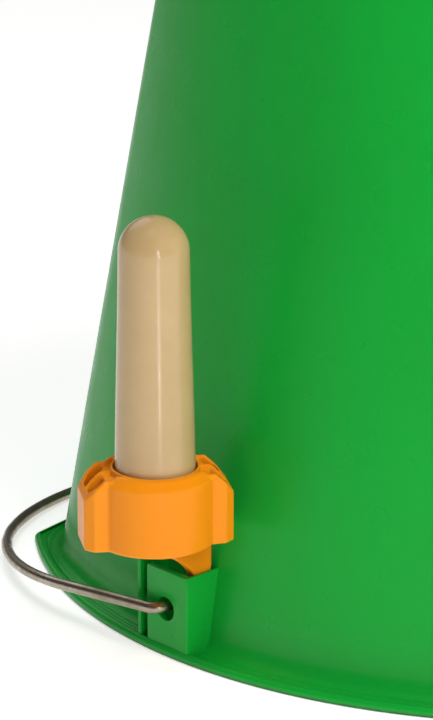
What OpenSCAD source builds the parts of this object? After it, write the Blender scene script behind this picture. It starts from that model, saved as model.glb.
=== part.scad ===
// Calf feeding bucket, stood upside down on its rim, with the teat and valve parked on a lug.
// Origin: centre of the rim plane, level with the bail pivots. +X and -X are the bail lugs,
// +Y is the flat back, -Y is the front with the outlet. All sizes are in millimetres.

/* [Bucket] */
// Height from the rim plane to the foot ring
bucket_h = 240; // [232:1:250]
// Half the width of the wall at the rim plane
half_w = 151; // [149:0.5:151.5]
// How far the wall leans in for each millimetre of height
taper = 0.175; // [0.16:0.005:0.185]
// Thickness of the moulded wall
wall_t = 2.5; // [2:0.1:3]
// Distance from the bail pivots to the middle of the back wall
back_y = 119; // [117:0.5:119.5]
// Radius of the two back corners of the wall
corner_r = 48; // [48:1:60]
// Depth of the recess under the base, inside the foot ring
foot_recess = 8; // [7.8:0.1:10]

/* [Rim flange] */
// Half the width of the flange
flange_half_w = 161.4; // [160:0.2:161.4]
// Distance from the bail pivots to the middle of the flange's back edge
flange_back_y = 125; // [124.6:0.2:127]
// Radius of the flange's two back corners
flange_corner_r = 5; // [4:1:12]
// Thickness of the flange
flange_t = 2.2; // [2:0.1:2.6]
// Height of the bead along the flange's edge
bead_h = 3.4; // [3.2:0.1:4]

/* [Bail] */
// Diameter of the bail wire
wire_d = 4; // [3.5:0.1:4.2]
// Distance from the pivots to the middle of the bail's back
bail_reach = 138; // [137:0.5:140]
// Radius of the bail's two big corners
bail_corner_r = 90; // [70:1:92]
// How far the bail hangs below level at rest, in degrees
bail_droop = 6.5; // [6:0.1:6.5]

/* [Teat and valve] */
// Height of the teat above the nut
teat_l = 85.3; // [80:0.1:92]
// Diameter of the teat where it leaves the nut
teat_base_d = 27; // [26:0.1:27.4]
// Diameter of the teat below its domed tip
teat_tip_d = 23.5; // [22.5:0.1:26]
// Diameter of the round part of the nut
nut_d = 40.6; // [40:0.1:41.4]
// Height of the nut
nut_h = 26.2; // [26:0.1:27]
// Height of the nut's lower edge above the rim plane, with the valve parked
nut_z = 48; // [47:0.5:48.5]
// Thickness of the locking tongue
tongue_t = 4; // [3.5:0.1:4.4]

/* [Hidden] */
$fn = 96;

green = [0.13, 0.60, 0.24];
orange = [0.98, 0.60, 0.13];
beige = [0.80, 0.68, 0.50];
steel = [0.62, 0.60, 0.57];
black = [0.12, 0.12, 0.12];
white = [0.90, 0.90, 0.88];

// ---- Plan outlines -------------------------------------------------------------------------
// An outline is a chain of tangent arcs, given for the +X half and mirrored. Directions run from
// +Y (0 degrees) over +X (90) to -Y (180). Each arc is [last direction, centre x, centre y, radius].
segments = 120;
back_r = 600;
rear_shift = 55;
flange_rear_shift = 25;
front_shift = 17;
front_dir = 135;
neck_z = 10;
base_z = bucket_h - foot_recess;

// The crossing of two circles that lies furthest along +X
function circles_meet(p, rp, q, rq) =
    let (d = norm(q - p),
         a = (rp * rp - rq * rq + d * d) / (2 * d),
         h = sqrt(rp * rp - a * a),
         u = (q - p) / d,
         m = p + a * u,
         k = [[m[0] - h * u[1], m[1] + h * u[0]], [m[0] + h * u[1], m[1] - h * u[0]]])
    k[0][0] > k[1][0] ? k[0] : k[1];

function outline_arcs(w, back, corner, rear) =
    let (bc = [0, back - back_r],
         sc = [-rear, 0],
         cc = circles_meet(bc, back_r - corner, sc, w + rear - corner),
         fr = w + front_shift - front_shift * sqrt(2))
    [[atan2(cc[0] - bc[0], cc[1] - bc[1]), bc[0], bc[1], back_r],
     [atan2(cc[0] - sc[0], cc[1] - sc[1]), cc[0], cc[1], corner],
     [90, sc[0], sc[1], w + rear],
     [front_dir, -front_shift, 0, w + front_shift],
     [180, 0, -front_shift, fr]];

wall_arcs = outline_arcs(half_w, back_y, corner_r, rear_shift);
flange_arcs = outline_arcs(flange_half_w, flange_back_y, flange_corner_r, flange_rear_shift);

function arc_for(arcs, dir) = [for (a = arcs) if (dir <= a[0]) a][0];

function ring(arcs, grow, z) =
    [for (i = [0 : segments - 1])
        let (turn = i * 360 / segments,
             side = turn <= 180 ? 1 : -1,
             dir = turn <= 180 ? turn : 360 - turn,
             a = arc_for(arcs, dir))
        [side * (a[1] + (a[3] + grow) * sin(dir)), a[2] + (a[3] + grow) * cos(dir), z]];

// A closed solid through a list of rings, with a flat cap over the first ring and over the last
module through_rings(rings) {
    last = len(rings) - 1;
    count = len(rings) * segments;
    function at(k, i) = k * segments + i % segments;
    polyhedron(
        points = concat([for (r = rings) each r], [[0, 0, rings[0][0][2]], [0, 0, rings[last][0][2]]]),
        faces = [for (i = [0 : segments - 1]) each concat(
            [[count, at(0, i + 1), at(0, i)], [count + 1, at(last, i), at(last, i + 1)]],
            [for (k = [0 : last - 1]) [at(k, i), at(k + 1, i + 1), at(k + 1, i)]],
            [for (k = [0 : last - 1]) [at(k, i), at(k, i + 1), at(k + 1, i + 1)]])],
        convexity = 6);
}

// Where the wall's outer face stands at a height, on the X axis
function wall_x(z) = half_w - taper * z;

// Where the wall's outer face stands at a height, in the middle of the front
function front_y(z) = -(half_w + front_shift + front_shift * (1 - sqrt(2)) - taper * z);

// ---- Bail lug ------------------------------------------------------------------------------
lug_out = 160;
lug_top = 31;
lug_lo = -11;
lug_hi = 9.2;
lug_plate = 2.5;
lug_side = 1.3;
slit_w = 3.9;
fin_t = 1.6;
fin_out = 159.4;
lug_hole_d = 8.4;
lug_hole_z = 17;
into_wall = 1.2;

// A plate in the XZ plane from the lug's face back into the wall
module lug_rib(out, y0, y1) {
    translate([0, y1, 0]) rotate([90, 0, 0]) linear_extrude(y1 - y0)
        polygon([[out, flange_t - 0.5], [out, lug_top], [wall_x(lug_top) - into_wall, lug_top],
                 [wall_x(flange_t) - into_wall, flange_t - 0.5]]);
}

module lug() {
    difference() {
        union() {
            translate([lug_out - lug_plate, lug_lo, flange_t - 0.5])
                cube([lug_plate, lug_hi - lug_lo, lug_top - flange_t + 0.5]);
            lug_rib(lug_out, lug_lo, lug_lo + lug_side);
            lug_rib(fin_out, lug_hi + slit_w, lug_hi + slit_w + fin_t);
        }
        translate([lug_out - lug_plate - 1, 0, lug_hole_z])
            rotate([0, 90, 0]) cylinder(d = lug_hole_d, h = lug_plate + 2);
    }
}

// ---- Outlet --------------------------------------------------------------------------------
outlet_z = base_z - 14.5;
boss_r = 12;
boss_h = 3.5;
spout_r = 6.5;
spout_l = 15;
outlet_bore_r = 4.2;
notch_w = tongue_t + 1.2;

module outlet_spout() {
    translate([0, front_y(outlet_z) + 2, outlet_z]) rotate([90, 0, 0]) cylinder(r = boss_r, h = boss_h + 2);
    translate([0, front_y(outlet_z) + 2, outlet_z]) rotate([90, 0, 0]) cylinder(r = spout_r, h = spout_l + 2);
}

module bucket() {
    floor_z = base_z - 3;
    color(green)
    difference() {
        union() {
            through_rings([
                ring(wall_arcs, -wall_t - taper * floor_z, floor_z),
                ring(wall_arcs, -wall_t, 0),
                ring(flange_arcs, -0.6, 0),
                ring(flange_arcs, 0, 0.6),
                ring(flange_arcs, 0, bead_h - 0.8),
                ring(flange_arcs, -0.8, bead_h),
                ring(flange_arcs, -1.9, bead_h),
                ring(flange_arcs, -2.5, flange_t),
                ring(wall_arcs, 2.2, flange_t),
                ring(wall_arcs, 1.5, flange_t + 0.7),
                ring(wall_arcs, 0.6, neck_z - 2),
                ring(wall_arcs, -taper * neck_z, neck_z),
                ring(wall_arcs, -taper * (bucket_h - 1), bucket_h - 1),
                ring(wall_arcs, -taper * bucket_h - 0.8, bucket_h),
                ring(wall_arcs, -taper * bucket_h - wall_t, bucket_h),
                ring(wall_arcs, -taper * base_z - wall_t - 0.4, base_z)]);
            lug();
            mirror([1, 0, 0]) lug();
            outlet_spout();
        }
        // Bore from the inside of the bucket out through the spout
        translate([0, front_y(outlet_z) + 12, outlet_z]) rotate([90, 0, 0])
            cylinder(r = outlet_bore_r, h = 12 + spout_l + 1);
        // Notch in the foot ring that the valve's tongue passes through
        translate([-notch_w / 2, front_y(base_z) - 6, base_z]) cube([notch_w, 18, foot_recess + 1]);
    }
}

// ---- Bail ----------------------------------------------------------------------------------
pivot_y = 0.4;
pivot_z = 17.8;
arm_x = 163.7;
hook_r = 4;
hook_end_x = 151.6;

// Puts the flat bail, drawn from the pivot line out along +Y, at its place at rest
module bail_place() {
    translate([0, pivot_y, pivot_z]) rotate([-bail_droop, 0, 0]) children();
}

module bail_half() {
    // Hooked end in the lug
    translate([hook_end_x, 0, 0]) rotate([0, 90, 0]) cylinder(d = wire_d, h = arm_x - hook_r - hook_end_x);
    translate([arm_x - hook_r, hook_r, 0]) rotate([0, 0, -90])
        rotate_extrude(angle = 90) translate([hook_r, 0]) circle(d = wire_d, $fn = 48);
    // Arm
    translate([arm_x, hook_r, 0]) rotate([-90, 0, 0])
        cylinder(d = wire_d, h = bail_reach - bail_corner_r - hook_r);
    // Big corner
    translate([arm_x - bail_corner_r, bail_reach - bail_corner_r, 0])
        rotate_extrude(angle = 90) translate([bail_corner_r, 0]) circle(d = wire_d, $fn = 48);
}

module bail_wire() {
    back_l = 2 * (arm_x - bail_corner_r);
    color(steel) bail_place() {
        bail_half();
        mirror([1, 0, 0]) bail_half();
        translate([-back_l / 2, bail_reach, 0]) rotate([0, 90, 0]) cylinder(d = wire_d, h = back_l);
    }
}

// ---- Teat and valve, parked on the -X lug --------------------------------------------------
valve_x = -170.8;
valve_y = -7.4;
nut_turn = -32;
nut_r = nut_d / 2;
nut_top = nut_z + nut_h;
thread_r = 16.5;
thread_gap = 0.3;
skirt_r = 18.3;
opening_r = teat_base_d / 2 + 0.5;
shoulder_z = nut_top - 4.5;
flange_top = shoulder_z;
teat_flange_t = 3.5;
body_top = flange_top - teat_flange_t;
body_z = nut_z + 1;
socket_r = spout_r + 0.05;
socket_h = 10;
seat_z = body_z + socket_h + 0.5;
chamber_r = 6.2;
seat_t = 1.5;
seat_bore_r = 3.8;
ball_r = 5;
ball_z = seat_z + seat_t + sqrt(ball_r * ball_r - seat_bore_r * seat_bore_r) + 0.03;
cage_t = 1.5;
cage_r = 12.2;
basket_r = 7.4;
basket_top = ball_z + ball_r + 1.6 + cage_t;
seal_r = 9.4;
seal_z = body_z + 2;
seal_h = 2.4;

module on_valve() {
    translate([valve_x, valve_y, 0]) children();
}

// Tongue that locks the valve into a pocket, with its edge arched over the bail pivot
module tongue() {
    inner = -147 - valve_x;
    outer = -153.8 - valve_x;
    root = spout_r + 1.2;
    skirt = skirt_r - thread_gap - 0.2;
    tip_z = 24;
    slant = 2.5;
    arch_r = 18.7;
    arch_x = -0.5;
    arch_z = 21.3;
    translate([0, tongue_t / 2, 0]) rotate([90, 0, 0]) linear_extrude(tongue_t)
        difference() {
            polygon([[root, body_z + 1.5], [root, arch_z], [outer, arch_z], [outer, tip_z + 1], [outer + 1, tip_z],
                     [inner - slant, tip_z], [inner, tip_z + 8], [inner, nut_z - 0.4], [skirt, nut_z - 0.4],
                     [skirt, body_z + 1.5]]);
            intersection() {
                translate([arch_x, arch_z]) circle(r = arch_r);
                square([outer, 60]);
            }
        }
}

module valve_body() {
    color(orange) on_valve() difference() {
        union() {
            translate([0, 0, body_z]) cylinder(r = skirt_r - thread_gap, h = 3);
            translate([0, 0, body_z]) cylinder(r = thread_r - thread_gap, h = body_top - body_z);
            tongue();
        }
        translate([0, 0, body_z - 1]) cylinder(r = socket_r, h = socket_h + 1);
        translate([0, 0, seal_z]) cylinder(r = seal_r, h = seal_h);
        translate([0, 0, body_z]) cylinder(r = seat_bore_r, h = body_top);
        translate([0, 0, seat_z]) cylinder(r = chamber_r, h = body_top);
        translate([0, 0, body_top - cage_t]) cylinder(r = cage_r, h = cage_t + 1);
    }
}

module outlet_seal_ring() {
    color(black) on_valve() translate([0, 0, seal_z + seal_h / 2])
        rotate_extrude() translate([(socket_r + seal_r) / 2 - 0.1, 0]) circle(r = 1.15, $fn = 48);
}

module valve_seat_ring() {
    color(black) on_valve() translate([0, 0, seat_z]) difference() {
        cylinder(r = chamber_r - 0.05, h = seat_t);
        translate([0, 0, -1]) cylinder(r = seat_bore_r, h = seat_t + 2);
    }
}

module valve_ball() {
    color(white) on_valve() translate([0, 0, ball_z]) sphere(r = ball_r);
}

module ball_cage() {
    color(white) on_valve() difference() {
        union() {
            translate([0, 0, body_top - cage_t]) cylinder(r = cage_r - 0.05, h = cage_t);
            translate([0, 0, body_top - cage_t]) cylinder(r = basket_r, h = basket_top - body_top + cage_t);
        }
        translate([0, 0, body_top - cage_t - 1]) cylinder(r = chamber_r, h = basket_top - body_top + 1);
        // Milk windows in the top and the side of the basket
        for (a = [0, 90, 180, 270]) rotate([0, 0, a + 45])
            translate([2.6, -1.6, body_top + 0.8]) cube([basket_r, 3.2, basket_top]);
    }
}

module teat() {
    teat_top = nut_top + teat_l;
    base_r = teat_base_d / 2;
    tip_r = teat_tip_d / 2;
    tube_r = 8.6;
    color(beige) on_valve() difference() {
        union() {
            translate([0, 0, body_top]) cylinder(r = thread_r - 0.6, h = teat_flange_t - 0.1);
            translate([0, 0, body_top]) cylinder(r1 = base_r, r2 = tip_r, h = teat_top - tip_r - body_top);
            translate([0, 0, teat_top - tip_r]) sphere(r = tip_r);
        }
        translate([0, 0, body_top - 1]) cylinder(r = tube_r, h = teat_top - tip_r - body_top);
        translate([0, 0, teat_top - tip_r - 1]) sphere(r = tube_r);
    }
}

// Plan of one hollow ear of the nut, from its axis out along +X
module ear_plan(inset) {
    far = 25.2;
    polygon([[0, inset - 11.8], [far - 3 - inset / 2, inset - 10], [far - inset, inset - 7.2],
             [far - inset, 7.2 - inset], [far - 3 - inset / 2, 10 - inset], [0, 11.8 - inset]]);
}

// Side view of an ear, whose top slopes down towards its end
module ear_side() {
    rotate([90, 0, 0]) linear_extrude(40, center = true)
        polygon([[0, nut_z], [26, nut_z], [26, nut_top - 9.6], [22, nut_top - 4.6], [18.6, nut_top - 1.4],
                 [0, nut_top - 1.4]]);
}

module teat_nut() {
    ear_wall = 1.9;
    rib_t = 1.6;
    pocket_d = 2.6;
    color(orange) on_valve() rotate([0, 0, nut_turn]) difference() {
        union() {
            rotate_extrude()
                polygon([[skirt_r, nut_z], [nut_r - 0.5, nut_z], [nut_r, nut_z + 0.5], [nut_r, nut_top - 2.8],
                         [nut_r - 3, nut_top - 0.4], [nut_r - 3.6, nut_top], [opening_r + 0.4, nut_top],
                         [opening_r, nut_top - 0.4], [opening_r, shoulder_z], [thread_r, shoulder_z],
                         [thread_r, nut_z + 4.5], [skirt_r, nut_z + 4.5]]);
            for (a = [0, 180]) rotate([0, 0, a]) difference() {
                intersection() {
                    translate([0, 0, nut_z]) linear_extrude(nut_h) ear_plan(0);
                    ear_side();
                }
                translate([0, 0, nut_z - 1]) cylinder(r = skirt_r + 0.8, h = nut_h + 2);
            }
        }
        // Open pocket in the top of each ear, shallow over the body, with a rib left standing along it
        for (a = [0, 180]) rotate([0, 0, a]) difference() {
            translate([0, 0, nut_z + 6]) linear_extrude(nut_h) ear_plan(ear_wall);
            translate([0, 0, nut_z]) cylinder(r = thread_r + 1.6, h = nut_h - pocket_d);
            translate([0, 0, nut_z]) cylinder(r = opening_r + 0.9, h = nut_h + 2);
            translate([0, -rib_t / 2, nut_z]) cube([30, rib_t, nut_h - 1.2]);
        }
    }
}

bucket();
bail_wire();
valve_body();
outlet_seal_ring();
valve_seat_ring();
valve_ball();
ball_cage();
teat();
teat_nut();
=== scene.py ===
"""A calf feeding bucket that stands upside down on its rim, with its teat and valve parked on one lug.

Lengths named here are in millimetres and become metres in the meshes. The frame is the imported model's:
+Z up from the rim, X along the bail's pivots with the parked valve at -X, +Y towards the flat back.
"""

import math

import bmesh
import bpy
from mathutils import Matrix, Vector


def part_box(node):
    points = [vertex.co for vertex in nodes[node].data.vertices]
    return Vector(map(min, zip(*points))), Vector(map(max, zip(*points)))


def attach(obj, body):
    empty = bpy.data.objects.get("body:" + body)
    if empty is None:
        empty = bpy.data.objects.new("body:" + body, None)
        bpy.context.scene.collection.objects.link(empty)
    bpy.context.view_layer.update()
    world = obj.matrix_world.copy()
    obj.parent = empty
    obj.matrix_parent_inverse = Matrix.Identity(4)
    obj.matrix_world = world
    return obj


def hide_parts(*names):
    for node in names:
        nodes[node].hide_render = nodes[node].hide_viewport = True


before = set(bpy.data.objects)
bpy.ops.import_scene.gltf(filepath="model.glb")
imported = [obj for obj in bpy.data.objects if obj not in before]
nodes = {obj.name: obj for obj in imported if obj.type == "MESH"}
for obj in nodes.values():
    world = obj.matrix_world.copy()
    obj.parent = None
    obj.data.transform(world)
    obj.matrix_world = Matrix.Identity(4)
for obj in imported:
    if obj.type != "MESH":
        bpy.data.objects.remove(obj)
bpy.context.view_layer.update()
MM = 0.001

# ---- Sizes, in millimetres -----------------------------------------------------------------
# Wall: its outline at the rim, drawn in by the taper for each millimetre of height
HALF_W = 151.0
TAPER = 0.175
WALL_T = 2.5
BACK_Y = 119.0
CORNER_R = 48.0
REAR_SHIFT = 55.0
FRONT_SHIFT = 17.0
BACK_R = 600.0

# Flange at the rim with its raised lip, and the neck where it runs up into the wall
FLANGE_HALF_W = 161.4
FLANGE_BACK_Y = 125.0
FLANGE_CORNER_R = 5.0
FLANGE_REAR_SHIFT = 25.0
FLANGE_T = 2.2
LIP_H = 3.4
LIP_W = 3.0
NECK_OUT = 2.3
NECK_LOW = 2.3
NECK_Z = 11.0

# Base, which is set down inside the foot ring
FOOT_RECESS = 8.0
BUCKET_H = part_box("bucket")[1].z / MM
BASE_Z = BUCKET_H - FOOT_RECESS
FLOOR_T = 3.0
FLOOR_FILLET = 4.0
STEPS_ROUND = 480

# Bail, in its own plane, with its turn down at rest
WIRE_R = 2.0
PIVOT = Vector((0, 0.4, 17.8))
ARM_X = 163.7
HOOK_R = 4.0
HOOK_END_X = 151.6
BAIL_REACH = 138.0
BAIL_CORNER_R = 90.0
BAIL_DROOP = math.radians(6.5)

# Lug: OUT is along X, LO and HI along Y. The gap keeps faces from lying in one plane
LUG_OUT = 160.0
LUG_TOP = 31.0
LUG_LO = -11.0
LUG_HI = 9.2
LUG_PLATE = 2.5
LUG_SIDE = 1.3
SLIT_W = 3.9
FIN_T = 1.6
FIN_OUT = 159.4
LUG_HOLE_R = 4.2
LUG_HOLE_Z = 17.0
LUG_EDGE_R = 0.6
Z_FIGHT_GAP = 0.05

# Outlet, in the middle of the front
SPOUT_R = 6.5
SPOUT_L = 15.0
BOSS_R = 12.0
BOSS_H = 3.5
BORE_R = 4.2
OUTLET_Z = BASE_Z - 14.5
NOTCH_W = 5.2

# Teat and nut, at their places in the frame
teat_lo, teat_hi = (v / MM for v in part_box("teat"))
nut_lo, nut_hi = (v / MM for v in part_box("teat_nut"))
VALVE_X = (teat_lo.x + teat_hi.x) / 2
VALVE_Y = (teat_lo.y + teat_hi.y) / 2
NUT_TOP = nut_hi.z
TEAT_FOOT = teat_lo.z
TEAT_TOP = teat_hi.z
TEAT_FLANGE_R = (teat_hi.x - teat_lo.x) / 2
TEAT_FLANGE_T = 3.4
TEAT_BASE_R = 13.5
TEAT_TIP_R = 11.75
TEAT_TUBE_R = 8.6
TEAT_ROWS = 28
SLIT_REACH, SLIT_HALF_W, SLIT_DEPTH = 2.4, 0.07, 0.5
NUT_GROOVE_R = 17.6
NUT_GROOVE_SIZE = 0.55
MOULDING_VOXEL = 0.42


# ---- Mesh helpers --------------------------------------------------------------------------
def new_piece(name, mesh):
    """Puts a mesh in the scene as an object of that name."""
    piece = bpy.data.objects.new(name, mesh)
    bpy.context.scene.collection.objects.link(piece)
    return piece


def smooth(piece, angle=40):
    """Smooth shading, with the edges sharper than the angle kept crisp."""
    piece.data.shade_smooth()
    piece.data.set_sharp_from_angle(angle=math.radians(angle))
    return piece


def from_bmesh(name, bm, angle=40):
    """Turns a bmesh in millimetres into a smooth piece in metres."""
    bmesh.ops.scale(bm, vec=(MM, MM, MM), verts=bm.verts)
    bmesh.ops.recalc_face_normals(bm, faces=bm.faces)
    mesh = bpy.data.meshes.new(name)
    bm.to_mesh(mesh)
    bm.free()
    return smooth(new_piece(name, mesh), angle)


def apply_modifiers(piece):
    """Makes the piece's modifiers part of its mesh."""
    graph = bpy.context.evaluated_depsgraph_get()
    mesh = bpy.data.meshes.new_from_object(piece.evaluated_get(graph))
    piece.modifiers.clear()
    piece.data = mesh
    return piece


def cut(piece, *tools):
    """Takes the tools' shapes out of the piece, and deletes the tools."""
    for tool in tools:
        step = piece.modifiers.new("cut", "BOOLEAN")
        step.operation = "DIFFERENCE"
        step.solver = "EXACT"
        step.object = tool
    apply_modifiers(piece)
    for tool in tools:
        bpy.data.objects.remove(tool)
    return piece


def join(name, pieces):
    """Makes one piece of several, each a closed shell of its own."""
    bm = bmesh.new()
    for piece in pieces:
        piece.data.transform(piece.matrix_world)
        bm.from_mesh(piece.data)
        bpy.data.objects.remove(piece)
    mesh = bpy.data.meshes.new(name)
    bm.to_mesh(mesh)
    bm.free()
    return smooth(new_piece(name, mesh), 40)


def box(name, low, high):
    """A plain box between two corners, used as a cutting tool."""
    bm = bmesh.new()
    bmesh.ops.create_cube(bm, size=1)
    low, high = Vector(low), Vector(high)
    bmesh.ops.scale(bm, vec=high - low, verts=bm.verts)
    bmesh.ops.translate(bm, vec=(low + high) / 2, verts=bm.verts)
    return from_bmesh(name, bm)


def loft(bm, rings, cap=True):
    """Quads between rings of equal length, with a fan over each end."""
    rows = [[bm.verts.new(p) for p in ring] for ring in rings]
    count = len(rows[0])
    for lower, upper in zip(rows, rows[1:]):
        for i in range(count):
            j = (i + 1) % count
            bm.faces.new((lower[i], lower[j], upper[j], upper[i]))
    if cap:
        for row in (rows[0], rows[-1]):
            middle = bm.verts.new(sum((v.co for v in row), Vector()) / count)
            for i in range(count):
                bm.faces.new((row[i], row[(i + 1) % count], middle))


def lathe(name, profile, place=Matrix(), sides=128, closed=False):
    """A profile of (radius, height) turned round Z and moved to its place. A closed profile makes a ring."""
    points = list(profile) + ([profile[0]] if closed else [])
    turns = [math.tau * i / sides for i in range(sides)]
    bm = bmesh.new()
    rings = [[place @ Vector((r * math.cos(a), r * math.sin(a), z)) for a in turns] for r, z in points]
    loft(bm, rings, cap=not closed)
    bmesh.ops.remove_doubles(bm, verts=bm.verts, dist=1e-4)
    return from_bmesh(name, bm)


def arc(cx, cz, r, start, end, steps=8):
    """Points on an arc, from one angle in degrees to another."""
    angles = [math.radians(start + (end - start) * i / steps) for i in range(steps + 1)]
    return [(cx + r * math.cos(a), cz + r * math.sin(a)) for a in angles]


def slab(name, outline, thickness, place, holes=(), edge=0.35):
    """A flat plate of that outline with round holes and softly rounded edges, moved to its place."""
    curve = bpy.data.curves.new(name, "CURVE")
    curve.dimensions = "2D"
    curve.fill_mode = "BOTH"
    rounds = [[(x + r * math.cos(a), y + r * math.sin(a)) for a in
               (math.tau * i / 64 for i in range(64))] for x, y, r in holes]
    for points in [outline] + rounds:
        line = curve.splines.new("POLY")
        line.points.add(len(points) - 1)
        line.use_cyclic_u = True
        for target, (x, y) in zip(line.points, points):
            target.co = (x * MM, y * MM, 0, 1)
    curve.extrude = (thickness / 2 - edge) * MM
    curve.bevel_depth = edge * MM
    curve.bevel_resolution = 3
    curve.offset = -edge * MM
    holder = bpy.data.objects.new(name, curve)
    bpy.context.scene.collection.objects.link(holder)
    graph = bpy.context.evaluated_depsgraph_get()
    graph.update()
    mesh = bpy.data.meshes.new_from_object(holder.evaluated_get(graph))
    bpy.data.objects.remove(holder)
    bm = bmesh.new()
    bm.from_mesh(mesh)
    bmesh.ops.remove_doubles(bm, verts=bm.verts, dist=1e-6)
    bmesh.ops.scale(bm, vec=(1 / MM,) * 3, verts=bm.verts)
    bmesh.ops.transform(bm, matrix=place, verts=bm.verts)
    bpy.data.meshes.remove(mesh)
    return from_bmesh(name, bm)


def moulded(name, node, softening, *tools):
    """A fine copy of a CAD node with every edge softly rounded, as a moulding has."""
    mesh = nodes[node].data.copy()
    mesh.materials.clear()
    piece = new_piece(name, mesh)
    bm = bmesh.new()
    bm.from_mesh(mesh)
    bmesh.ops.remove_doubles(bm, verts=bm.verts, dist=1e-6)
    bm.to_mesh(mesh)
    bm.free()
    if tools:
        cut(piece, *tools)
    step = piece.modifiers.new("remesh", "REMESH")
    step.mode = "VOXEL"
    step.voxel_size = MOULDING_VOXEL * MM
    step = piece.modifiers.new("soften", "SMOOTH")
    step.factor = 0.5
    step.iterations = softening
    apply_modifiers(piece)
    piece.data.shade_smooth()
    return piece


# ---- Materials -----------------------------------------------------------------------------
# Dark colour for a painted shadow along the rim's bottom edge
RIM_PAINTED_SHADE = (0.022, 0.030, 0.014, 1)
ZINC, ZINC_BROWN, ZINC_SPECK = (0.43, 0.375, 0.30, 1), (0.29, 0.235, 0.17, 1), (0.13, 0.10, 0.075, 1)
TAN, TAN_CLOUD, TAN_SPECK = (0.515, 0.355, 0.170, 1), (0.480, 0.325, 0.150, 1), (0.33, 0.21, 0.10, 1)
BLACK, BLACK_BLOOM = (0.018, 0.018, 0.018, 1), (0.05, 0.048, 0.045, 1)
PAPER, PAPER_SHADE = (0.88, 0.88, 0.87, 1), (0.86, 0.86, 0.85, 1)


def new_material(name):
    """A material with its shader, and a function that adds a node and sets its inputs."""
    material = bpy.data.materials.new(name)
    material.use_nodes = True
    tree = material.node_tree
    shader = tree.nodes["Principled BSDF"]

    def add(kind, inputs=(), **settings):
        node = tree.nodes.new(kind)
        for key, value in settings.items():
            setattr(node, key, value)
        for key, value in dict(inputs).items():
            if isinstance(value, bpy.types.NodeSocket):
                tree.links.new(value, node.inputs[key])
            else:
                node.inputs[key].default_value = value
        return node

    return material, shader, tree, add


def noise(add, where, scale, detail=4.0, rough=0.55):
    """Noise between 0 and 1 at a scale in features per metre."""
    node = add("ShaderNodeTexNoise", {"Vector": where, "Scale": scale, "Detail": detail, "Roughness": rough})
    return node.outputs["Fac"]


def stretched(add, where, scale):
    """The same coordinates with each axis multiplied."""
    return add("ShaderNodeMapping", {"Vector": where, "Scale": scale}).outputs["Vector"]


def remap(add, value, low, high, to_low=0.0, to_high=1.0):
    """A value moved from one range to another and held inside it."""
    node = add("ShaderNodeMapRange", {"Value": value, "From Min": low, "From Max": high,
                                      "To Min": to_low, "To Max": to_high})
    return node.outputs["Result"]


def mix(add, amount, first, second):
    """Two colours mixed by an amount."""
    node = add("ShaderNodeMix", data_type="RGBA")
    for index, value in ((0, amount), (6, first), (7, second)):
        if isinstance(value, bpy.types.NodeSocket):
            node.id_data.links.new(value, node.inputs[index])
        else:
            node.inputs[index].default_value = value
    return node.outputs[2]


def multiply(add, first, second):
    """Two values multiplied."""
    node = add("ShaderNodeMath", operation="MULTIPLY")
    for index, value in enumerate((first, second)):
        if isinstance(value, bpy.types.NodeSocket):
            node.id_data.links.new(value, node.inputs[index])
        else:
            node.inputs[index].default_value = value
    return node.outputs[0]


def combine_bumps(add, bumps):
    """Bumps of (height, depth in metres) on top of each other."""
    normal = None
    for height, depth in bumps:
        inputs = {"Height": height, "Strength": 1.0, "Distance": depth}
        if normal:
            inputs["Normal"] = normal
        normal = add("ShaderNodeBump", inputs).outputs["Normal"]
    return normal


def scatter(shader, weight, depth):
    """Lets light spread under the surface, to a depth in metres for red, green and blue."""
    shader.inputs["Subsurface Weight"].default_value = weight
    shader.inputs["Subsurface Radius"].default_value = depth


def moulded_plastic(name, colour, shade, scuff, roughness, grain, specular=0.5, edge_wear=0.0,
                    rim_painted_shade=False):
    """Moulded plastic: faint flow marks, fine skin texture, pale hairlines and paler worn edges, and if asked
    a painted shadow along the rim's bottom edge.
    """
    material, shader, tree, add = new_material(name)
    where = add("ShaderNodeTexCoord").outputs["Object"]
    flow = remap(add, noise(add, stretched(add, where, (1, 1, 0.35)), 26), 0.35, 0.65)
    skin = noise(add, where, grain, 2.0)
    hairlines = noise(add, stretched(add, where, (1, 1, 0.03)), 1500, 2.0)
    scratch = remap(add, hairlines, 0.70, 0.78)
    patches = remap(add, noise(add, where, 38, 5.0), 0.52, 0.72)
    scratch = multiply(add, scratch, patches)
    base = mix(add, flow, (*colour, 1), (*shade, 1))
    base = mix(add, multiply(add, scratch, 0.12), base, (*scuff, 1))
    if edge_wear:
        edge = add("ShaderNodeNewGeometry").outputs["Pointiness"]
        worn = multiply(add, remap(add, edge, 0.53, 0.62), remap(add, noise(add, where, 240), 0.35, 0.7))
        base = mix(add, multiply(add, worn, edge_wear), base, (*scuff, 1))
    # Painted shade: the lowest millimetre or so of the rim is coloured dark in patches, as the shadow under
    # it
    if rim_painted_shade:
        height = add("ShaderNodeSeparateXYZ", {"Vector": where}).outputs["Z"]
        near_rim = remap(add, height, 0.0005, 0.0013, 1.0, 0.0)
        rim_shade_mask = multiply(add, near_rim, remap(add, noise(add, where, 170, 6.0), 0.15, 0.50))
        base = mix(add, multiply(add, rim_shade_mask, 0.85), base, RIM_PAINTED_SHADE)
    tree.links.new(base, shader.inputs["Base Color"])
    rough = remap(add, noise(add, where, 90, 2.0), 0.3, 0.7, roughness - 0.04, roughness + 0.04)
    tree.links.new(rough, shader.inputs["Roughness"])
    normal = combine_bumps(add, ((noise(add, where, 70, 2.0), 0.00012), (skin, 0.000015)))
    tree.links.new(normal, shader.inputs["Normal"])
    shader.inputs["IOR"].default_value = 1.49
    shader.inputs["Specular IOR Level"].default_value = specular
    return material, shader


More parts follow.
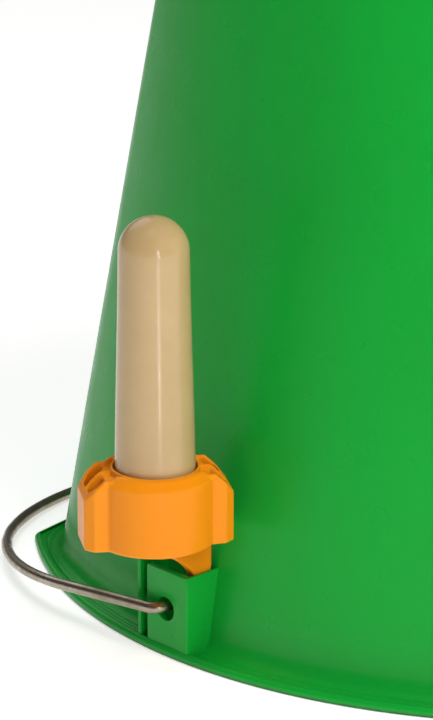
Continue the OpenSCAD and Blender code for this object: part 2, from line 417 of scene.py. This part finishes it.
def steel(name):
    """Drawn galvanised wire: dull zinc with brown patches and dark specks."""
    material, shader, tree, add = new_material(name)
    where = add("ShaderNodeTexCoord").outputs["Object"]
    patch = remap(add, noise(add, where, 110, 6.0), 0.35, 0.65)
    speck = remap(add, noise(add, where, 900, 3.0), 0.55, 0.72)
    base = mix(add, patch, ZINC, ZINC_BROWN)
    base = mix(add, multiply(add, speck, 0.35), base, ZINC_SPECK)
    tree.links.new(base, shader.inputs["Base Color"])
    tree.links.new(remap(add, patch, 0, 1, 0.24, 0.40), shader.inputs["Roughness"])
    normal = combine_bumps(add, ((noise(add, where, 1300, 3.0), 0.00003), (patch, 0.00003)))
    tree.links.new(normal, shader.inputs["Normal"])
    shader.inputs["Metallic"].default_value = 1.0
    return material


def latex(name):
    """Natural rubber: even tan, slightly cloudy and a little translucent."""
    material, shader, tree, add = new_material(name)
    where = add("ShaderNodeTexCoord").outputs["Object"]
    cloud = remap(add, noise(add, where, 55, 4.0), 0.35, 0.65)
    speck = remap(add, noise(add, where, 1400, 2.0), 0.66, 0.76)
    base = mix(add, cloud, TAN, TAN_CLOUD)
    base = mix(add, multiply(add, speck, 0.15), base, TAN_SPECK)
    tree.links.new(base, shader.inputs["Base Color"])
    tree.links.new(remap(add, noise(add, where, 160), 0.3, 0.7, 0.18, 0.22), shader.inputs["Roughness"])
    normal = combine_bumps(add, ((noise(add, where, 120, 2.0), 0.00005), (noise(add, where, 2200), 0.000004)))
    tree.links.new(normal, shader.inputs["Normal"])
    shader.inputs["IOR"].default_value = 1.52
    scatter(shader, 0.12, (0.006, 0.003, 0.0015))
    return material


def seal_rubber(name):
    """Matt black rubber with a faint bloom."""
    material, shader, tree, add = new_material(name)
    where = add("ShaderNodeTexCoord").outputs["Object"]
    bloom = remap(add, noise(add, where, 300, 5.0), 0.4, 0.7)
    tree.links.new(mix(add, bloom, BLACK, BLACK_BLOOM), shader.inputs["Base Color"])
    tree.links.new(remap(add, bloom, 0, 1, 0.5, 0.75), shader.inputs["Roughness"])
    tree.links.new(combine_bumps(add, ((noise(add, where, 3000), 0.00003),)), shader.inputs["Normal"])
    return material


# The green plastic carries a painted shadow along the rim's bottom edge
GREEN, _ = moulded_plastic("green_plastic", (0.004, 0.340, 0.032), (0.006, 0.315, 0.030),
                           (0.07, 0.42, 0.10), 0.30, 1100, specular=0.22, rim_painted_shade=True)
ORANGE, orange_shader = moulded_plastic("orange_plastic", (0.86, 0.275, 0.006), (0.83, 0.250, 0.005),
                                        (0.98, 0.47, 0.08), 0.33, 1300, specular=0.20, edge_wear=0.55)
scatter(orange_shader, 0.10, (0.004, 0.0015, 0.0004))
WHITE, _ = moulded_plastic("white_plastic", (0.80, 0.80, 0.75), (0.74, 0.74, 0.70),
                           (0.88, 0.88, 0.85), 0.42, 1500)
STEEL = steel("steel_wire")
LATEX = latex("teat_rubber")
RUBBER = seal_rubber("seal_rubber")


def finish_piece(piece, material, slot, body, *stands_for):
    """Gives a piece its material and its body, and hides the CAD nodes that it stands for; the slot is not
    used.
    """
    piece.data.materials.clear()
    piece.data.materials.append(material)
    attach(piece, body)
    if stands_for:
        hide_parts(*stands_for)
    return piece


# ---- Bucket shell --------------------------------------------------------------------------
def circles_meet(p, rp, q, rq):
    """The crossing of two circles that lies furthest along +X."""
    d = math.dist(p, q)
    a = (rp * rp - rq * rq + d * d) / (2 * d)
    h = math.sqrt(rp * rp - a * a)
    ux, uy = (q[0] - p[0]) / d, (q[1] - p[1]) / d
    mx, my = p[0] + a * ux, p[1] + a * uy
    return max((mx - h * uy, my + h * ux), (mx + h * uy, my - h * ux))


def outline_arcs(half_w, back, corner, rear):
    """Tangent arcs round the +X half, from +Y to -Y: last direction, centre and radius of each."""
    back_centre = (0, back - BACK_R)
    side_centre = (-rear, 0)
    c = circles_meet(back_centre, BACK_R - corner, side_centre, half_w + rear - corner)
    front_r = half_w + FRONT_SHIFT * (1 - math.sqrt(2))
    return [(math.degrees(math.atan2(c[0], c[1] - back_centre[1])), *back_centre, BACK_R),
            (math.degrees(math.atan2(c[0] + rear, c[1])), *c, corner),
            (90, *side_centre, half_w + rear),
            (135, -FRONT_SHIFT, 0, half_w + FRONT_SHIFT),
            (180, 0, -FRONT_SHIFT, front_r)]


WALL = outline_arcs(HALF_W, BACK_Y, CORNER_R, REAR_SHIFT)
FLANGE = outline_arcs(FLANGE_HALF_W, FLANGE_BACK_Y, FLANGE_CORNER_R, FLANGE_REAR_SHIFT)


def ring(arcs, grow, z):
    """The outline grown by a distance, as points at a height."""
    points = []
    for i in range(STEPS_ROUND):
        turn = 360 * i / STEPS_ROUND
        side = 1 if turn <= 180 else -1
        direction = turn if turn <= 180 else 360 - turn
        last, x, y, r = next(a for a in arcs if direction <= a[0])
        angle = math.radians(direction)
        reach = r + grow
        points.append(Vector((side * (x + reach * math.sin(angle)), y + reach * math.cos(angle), z)))
    return points


def between(first, second, t, z):
    """A ring part of the way from one ring to another, at a height."""
    points = [a.lerp(b, t) for a, b in zip(first, second)]
    return [Vector((p.x, p.y, z)) for p in points]


def bucket_shell():
    """The moulded shell: rim lip, grooved flange, wall, foot ring and stepped base."""
    centre = [Vector((0, 0, 0))] * STEPS_ROUND
    # Inside, from the middle of the floor down the wall
    floor_z = BASE_Z - FLOOR_T
    inner = [(-WALL_T - TAPER * z, z) for z in (0.5, 20, 60, 100, 140, 180, 205, floor_z - FLOOR_FILLET)]
    floor_edge = inner[-1][0] - FLOOR_FILLET
    rings = [between(ring(WALL, floor_edge, 0), centre, t, floor_z) for t in (0.9, 0.5, 0.15)]
    rings += [ring(WALL, floor_edge + x, z)
              for x, z in arc(0, floor_z - FLOOR_FILLET, FLOOR_FILLET, 90, 0, 6)]
    rings += [ring(WALL, grow, z) for grow, z in reversed(inner[:-1])]
    rings += [ring(WALL, -WALL_T + 0.5, 0)]
    # Rim lip: round outer edge, flat-topped bead, groove, ridge, groove
    rings += [ring(FLANGE, x, z) for x, z in arc(-0.8, 0.8, 0.8, 270, 360, 4)]
    rings += [ring(FLANGE, x, z) for x, z in arc(-1.7, LIP_H - 1.7, 1.7, 0, 90, 6)]
    rings += [ring(FLANGE, x, z) for x, z in arc(-2.1, LIP_H - 0.9, 0.9, 80, 10, 4)]
    # Each pair: part of the way from the lip to the wall's foot, and the height there
    ridge = ((0.06, 2.1), (0.14, 1.9), (0.24, 2.0), (0.34, 2.4), (0.44, 2.8), (0.56, 2.9), (0.66, 2.6),
             (0.76, 2.2), (0.86, 2.0), (0.94, 2.1), (1.0, NECK_LOW))
    lip_inside = ring(FLANGE, -LIP_W, 0)
    wall_foot = ring(WALL, NECK_OUT, 0)
    rings += [between(lip_inside, wall_foot, t, z) for t, z in ridge]
    # Concave run up into the wall
    for step in range(1, 7):
        t = step / 6
        z = NECK_LOW + (NECK_Z - NECK_LOW) * t ** 1.5
        rings.append(ring(WALL, (NECK_OUT + TAPER * NECK_Z) * (1 - t) ** 2 - TAPER * NECK_Z, z))
    heights = [20 + 10 * i for i in range(21)] + [BUCKET_H - 6, BUCKET_H - 2]
    rings += [ring(WALL, -TAPER * z, z) for z in heights]
    # Foot ring, rounded over, and the recess inside it
    foot_out = -TAPER * BUCKET_H
    rings += [ring(WALL, x, z) for x, z in arc(foot_out - 1.2, BUCKET_H - 1.2, 1.2, 0, 90, 6)]
    rings += [ring(WALL, x, z) for x, z in arc(foot_out - WALL_T + 0.8, BUCKET_H - 0.8, 0.8, 90, 180, 4)]
    recess = foot_out - WALL_T - 0.2
    base_edge = recess - 1.2
    rings += [ring(WALL, recess, BASE_Z + 1.6), ring(WALL, recess - 0.3, BASE_Z + 0.6),
              ring(WALL, base_edge, BASE_Z)]
    # Shallow steps in the base, and the mark of the mould's gate in the middle.
    # Each pair: part of the way from the edge to the middle, and the rise there
    base_outline = ring(WALL, base_edge, 0)
    steps = ((0.10, 0), (0.12, 0.5), (0.14, 0.7), (0.40, 0.7), (0.415, 0.5), (0.43, 0), (0.68, 0),
             (0.69, 0.4), (0.70, 0.5), (0.90, 0.5), (0.905, 0.2), (0.915, 0), (0.965, 0), (0.967, 0.5),
             (0.972, 0.7), (0.985, 0.7))
    rings += [between(base_outline, centre, t, BASE_Z + rise) for t, rise in steps]
    bm = bmesh.new()
    loft(bm, rings)
    return from_bmesh("bucket_shell", bm, 50)


def wall_x(z):
    """Where the wall's outer face stands at a height, on the X axis."""
    return HALF_W - TAPER * z


def front_y(z):
    """Where the wall's outer face stands at a height, in the middle of the front."""
    return -(HALF_W + FRONT_SHIFT + FRONT_SHIFT * (1 - math.sqrt(2)) - TAPER * z)


def rounded_rectangle(x0, y0, x1, y1, r):
    """The outline of a rectangle with round corners."""
    corners = ((x1 - r, y1 - r, 0), (x0 + r, y1 - r, 90), (x0 + r, y0 + r, 180), (x1 - r, y0 + r, 270))
    return [p for x, y, start in corners for p in arc(x, y, r, start, start + 90, 5)]


def lug(side):
    """Lug for the bail's end: a face plate with the pivot hole, a side rib and a fin beyond the slit."""
    name = "bucket_lug_left" if side < 0 else "bucket_lug_right"
    foot = FLANGE_T - 0.8
    upright = Matrix(((0, 0, side, 0), (1, 0, 0, 0), (0, 1, 0, 0), (0, 0, 0, 1)))
    across = Matrix(((side, 0, 0, 0), (0, 0, 1, 0), (0, 1, 0, 0), (0, 0, 0, 1)))
    face = rounded_rectangle(LUG_LO + Z_FIGHT_GAP, foot, LUG_HI, LUG_TOP, LUG_EDGE_R)
    plate = slab("plate", face, LUG_PLATE,
                 Matrix.Translation((side * (LUG_OUT - LUG_PLATE / 2), 0, 0)) @ upright,
                 holes=((0, LUG_HOLE_Z, LUG_HOLE_R),))
    ribs = []
    for out, low, thick in ((LUG_OUT - Z_FIGHT_GAP, LUG_LO, LUG_SIDE), (FIN_OUT, LUG_HI + SLIT_W, FIN_T)):
        outline = [(out, foot), (out, LUG_TOP), (wall_x(LUG_TOP) - 1.2, LUG_TOP), (wall_x(foot) - 1.2, foot)]
        ribs.append(slab("rib", outline, thick, Matrix.Translation((0, low + thick / 2, 0)) @ across))
    return join(name, [plate] + ribs)


TO_FRONT = Matrix.Rotation(math.radians(90), 4, "X")


def outlet():
    """Outlet boss and spout with a lead-in chamfer and a shallow ring to grip the valve's seal."""
    wall = -front_y(OUTLET_Z)
    start = wall - 1.5
    boss_face = wall + BOSS_H
    tip = wall + SPOUT_L
    profile = [(BORE_R, start), (BOSS_R + 1.5, start), (BOSS_R + 0.6, wall + 0.8), (BOSS_R, wall + 1.6)]
    profile += arc(BOSS_R - 0.7, boss_face - 0.7, 0.7, 0, 90, 4)
    profile += [(SPOUT_R + 0.8, boss_face), (SPOUT_R + 0.2, boss_face + 0.3), (SPOUT_R, boss_face + 0.9)]
    profile += [(SPOUT_R, tip - 5.2), (SPOUT_R - 0.35, tip - 4.9), (SPOUT_R - 0.35, tip - 3.6),
                (SPOUT_R, tip - 3.3), (SPOUT_R, tip - 1.4)]
    profile += [(SPOUT_R - 1.0, tip - 0.2), (SPOUT_R - 1.3, tip), (BORE_R + 0.3, tip), (BORE_R, tip - 0.4)]
    return lathe("outlet_spout", profile, Matrix.Translation((0, 0, OUTLET_Z)) @ TO_FRONT, 96, closed=True)


def bore_tool():
    """The outlet's bore through the wall, as a cutting tool."""
    place = Matrix.Translation((0, front_y(OUTLET_Z) + 12, OUTLET_Z)) @ TO_FRONT
    return lathe("bore_tool", [(BORE_R, 0), (BORE_R, 24)], place, 64)


def notch_tool():
    """The notch in the foot ring above the outlet, as a cutting tool."""
    front = front_y(BASE_Z)
    return box("notch_tool", (-NOTCH_W / 2, front - 6, BASE_Z + 0.4), (NOTCH_W / 2, front + 12, BUCKET_H + 2))


shell = bucket_shell()
cut(shell, bore_tool(), notch_tool())
smooth(shell, 50)
finish_piece(shell, GREEN, "green_plastic", "bucket", "bucket")
for lug_side in (-1, 1):
    finish_piece(lug(lug_side), GREEN, "green_plastic", "bucket")
finish_piece(outlet(), GREEN, "green_plastic", "bucket")


# ---- Bail ----------------------------------------------------------------------------------
BAIL_PLACE = Matrix.Translation(PIVOT) @ Matrix.Rotation(-BAIL_DROOP, 4, "X")


def bail_path():
    """The middle of the wire, flat in the bail's own plane, from one hooked end to the other."""
    half = [(HOOK_END_X + 1.0, 0), (HOOK_END_X + 4, 0)]
    half += arc(ARM_X - HOOK_R, HOOK_R, HOOK_R, 270, 360, 12)
    straight_end = BAIL_REACH - BAIL_CORNER_R
    half += [(ARM_X, HOOK_R + (straight_end - HOOK_R) * i / 4) for i in (1, 2, 3)]
    half += arc(ARM_X - BAIL_CORNER_R, straight_end, BAIL_CORNER_R, 0, 90, 48)
    return half + [(-x, y) for x, y in reversed(half)]


def tube(name, path, radius, place, sides=32):
    """A round wire along a flat path, with its ends rounded over."""
    points = [Vector((x, y, 0)) for x, y in path]
    tangents = []
    for i in range(len(points)):
        before, after = points[max(i - 1, 0)], points[min(i + 1, len(points) - 1)]
        tangents.append((after - before).normalized())
    spots = list(zip(points, tangents, [radius] * len(points)))
    dome = [(radius * math.sin(a), radius * math.cos(a)) for a in map(math.radians, (20, 40, 60, 78))]
    first = [(points[0] - tangents[0] * out * 0.5, tangents[0], r) for out, r in reversed(dome)]
    last = [(points[-1] + tangents[-1] * out * 0.5, tangents[-1], r) for out, r in dome]
    up = Vector((0, 0, 1))
    rings = []
    for centre, along, r in first + spots + last:
        across = up.cross(along)
        rings.append([place @ (centre + across * (r * math.cos(a)) + up * (r * math.sin(a)))
                      for a in (math.tau * k / sides for k in range(sides))])
    bm = bmesh.new()
    loft(bm, rings)
    return from_bmesh(name, bm, 60)


finish_piece(tube("bail_wire_bent", bail_path(), WIRE_R, BAIL_PLACE),
             STEEL, "steel_wire", "bail", "bail_wire")

# ---- Teat, nut and valve -------------------------------------------------------------------
VALVE_PLACE = Matrix.Translation((VALVE_X, VALVE_Y, 0))


def teat():
    """Rubber teat: flange held under the nut, softly waisted shank, domed tip with a cross slit."""
    dome_z = TEAT_TOP - TEAT_TIP_R
    shank_z = TEAT_FOOT + TEAT_FLANGE_T
    profile = [(TEAT_TUBE_R, TEAT_FOOT + 0.2), (TEAT_TUBE_R + 0.4, TEAT_FOOT)]
    profile += arc(TEAT_FLANGE_R - 0.5, TEAT_FOOT + 0.5, 0.5, 270, 360, 4)
    profile += arc(TEAT_FLANGE_R - 0.5, shank_z - 0.5, 0.5, 0, 90, 4)
    profile += [(TEAT_BASE_R + 0.4, shank_z), (TEAT_BASE_R + 0.05, shank_z + 0.5)]
    for i in range(1, TEAT_ROWS + 1):
        t = i / TEAT_ROWS
        ease = t * t * (3 - 2 * t)
        radius = TEAT_BASE_R + (TEAT_TIP_R - TEAT_BASE_R) * (0.55 * t + 0.45 * ease)
        profile.append((radius, shank_z + 0.5 + (dome_z - shank_z - 0.5) * t))
    profile += arc(0, dome_z, TEAT_TIP_R, 4, 88.5, 26)
    tube_top = dome_z - 1
    profile += list(reversed(arc(0, tube_top, TEAT_TUBE_R, 0, 88, 16)))
    return lathe("teat_tube", profile, VALVE_PLACE, 144, closed=True)


def teat_slits():
    """Two thin blades that cut a shallow cross in the teat's tip."""
    blades = []
    for turn in (25, 115):
        blade = box("blade", (-SLIT_REACH, -SLIT_HALF_W, -SLIT_DEPTH), (SLIT_REACH, SLIT_HALF_W, 3))
        blade.data.transform(Matrix.Translation(Vector((VALVE_X, VALVE_Y, TEAT_TOP)) * MM)
                             @ Matrix.Rotation(math.radians(turn), 4, "Z"))
        blades.append(blade)
    return blades


def nut_groove():
    """A thin groove turned round the nut's top, near its outer edge, as a cutting tool."""
    place = VALVE_PLACE @ Matrix.Translation((0, 0, NUT_TOP + 0.12))
    profile = [(NUT_GROOVE_R + x, z) for x, z in arc(0, 0, NUT_GROOVE_SIZE, 0, 330, 11)]
    return lathe("groove_tool", profile, place, 128, closed=True)


finish_piece(cut(teat(), *teat_slits()), LATEX, "teat_rubber", "teat", "teat")
finish_piece(moulded("nut_moulding", "teat_nut", 5, nut_groove()),
             ORANGE, "orange_plastic", "nut", "teat_nut")
finish_piece(moulded("valve_moulding", "valve_body", 3), ORANGE, "orange_plastic", "valve", "valve_body")

for node_name, node_material in (("outlet_seal_ring", RUBBER), ("valve_seat_ring", RUBBER),
                                 ("valve_ball", WHITE), ("ball_cage", WHITE)):
    inner_part = nodes[node_name]
    inner_part.data.materials.clear()
    inner_part.data.materials.append(node_material)


# ---- Floor, lights and camera --------------------------------------------------------------
# The camera's place in degrees and metres, its lens and sensor in millimetres
CAMERA_AZIMUTH, CAMERA_ELEVATION, CAMERA_DISTANCE = -43.22, 18.31, 1.03585
CAMERA_TARGET = Vector((-0.16792, -0.03403, 0.11631))
CAMERA_LENS, CAMERA_SENSOR = 160.73, 36
FLOOR_Z = -0.05


def floor():
    """A pale studio floor, wide enough to fill the view."""
    bm = bmesh.new()
    bmesh.ops.create_grid(bm, x_segments=1, y_segments=1, size=20000)
    bmesh.ops.translate(bm, vec=(0, 0, FLOOR_Z), verts=bm.verts)
    piece = from_bmesh("studio_floor", bm)
    material, shader, tree, add = new_material("studio_floor")
    where = add("ShaderNodeTexCoord").outputs["Object"]
    paper = remap(add, noise(add, where, 6, 3.0), 0.3, 0.7)
    tree.links.new(mix(add, paper, PAPER, PAPER_SHADE), shader.inputs["Base Color"])
    shader.inputs["Roughness"].default_value = 0.7
    shader.inputs["Emission Color"].default_value = (1, 1, 1, 1)
    shader.inputs["Emission Strength"].default_value = 0.55
    piece.data.materials.append(material)


def rectangle_light(name, width, height, power, location):
    """A rectangular light in metres and watts, not turned yet."""
    light = bpy.data.lights.new(name, "AREA")
    light.shape = "RECTANGLE"
    light.size = width
    light.size_y = height
    light.energy = power
    holder = bpy.data.objects.new(name, light)
    holder.location = location
    bpy.context.scene.collection.objects.link(holder)
    return holder


def aim(holder, direction):
    """Turns a light or a camera to face in a direction."""
    holder.rotation_mode = "QUATERNION"
    holder.rotation_quaternion = direction.to_track_quat("-Z", "Y")


def direction_to(azimuth, elevation):
    """The direction at an azimuth, from the front towards +X, and an elevation, both in degrees."""
    a, e = math.radians(azimuth), math.radians(elevation)
    return Vector((math.sin(a) * math.cos(e), -math.cos(a) * math.cos(e), math.sin(e)))


def area_light(name, azimuth, elevation, distance, width, height, power, mirrored=True):
    """A soft light that faces the bucket. A light that isn't mirrored gives no highlights."""
    towards = direction_to(azimuth, elevation)
    holder = rectangle_light(name, width, height, power, Vector((0, 0, 0.1)) + towards * distance)
    aim(holder, -towards)
    holder.visible_glossy = mirrored


def table_light(name, azimuth, near, far, width, power):
    """A thin strip on the floor that faces up, from near to far of the teat, for a highlight on it."""
    towards = direction_to(azimuth, 0)
    foot = Vector((VALVE_X * MM, VALVE_Y * MM, 0.002))
    holder = rectangle_light(name, far - near, width, power, foot + towards * (near + far) / 2)
    holder.rotation_euler = (math.pi, 0, math.atan2(towards.y, towards.x))


def camera():
    """The camera, aimed beside the parked valve."""
    data = bpy.data.cameras.new("camera")
    data.lens = CAMERA_LENS
    data.sensor_width = CAMERA_SENSOR
    data.clip_start = 0.01
    data.clip_end = 100
    back = direction_to(CAMERA_AZIMUTH, CAMERA_ELEVATION)
    holder = bpy.data.objects.new("camera", data)
    holder.location = CAMERA_TARGET + back * CAMERA_DISTANCE
    aim(holder, -back)
    bpy.context.scene.collection.objects.link(holder)
    bpy.context.scene.camera = holder


floor()
# Azimuth, elevation, distance, width, height and power
area_light("key", -8, 42, 1.8, 0.9, 0.9, 17.5, mirrored=False)
area_light("strip", -34, 6, 1.3, 0.035, 0.6, 2.4)
table_light("table_strip", -28, 0.31, 0.55, 0.012, 0.25)
area_light("side_fill", 35, 20, 2.2, 1.4, 1.4, 4)
area_light("top", -60, 76, 1.8, 0.8, 0.8, 11.5, mirrored=False)
area_light("back", 170, 40, 2.2, 1.4, 1.4, 6)
world = bpy.data.worlds.new("studio")
world.use_nodes = True
background = world.node_tree.nodes["Background"]
background.inputs["Color"].default_value = (1, 1, 1, 1)
background.inputs["Strength"].default_value = 0.10
bpy.context.scene.world = world
bpy.context.scene.view_settings.view_transform = "Standard"
camera()
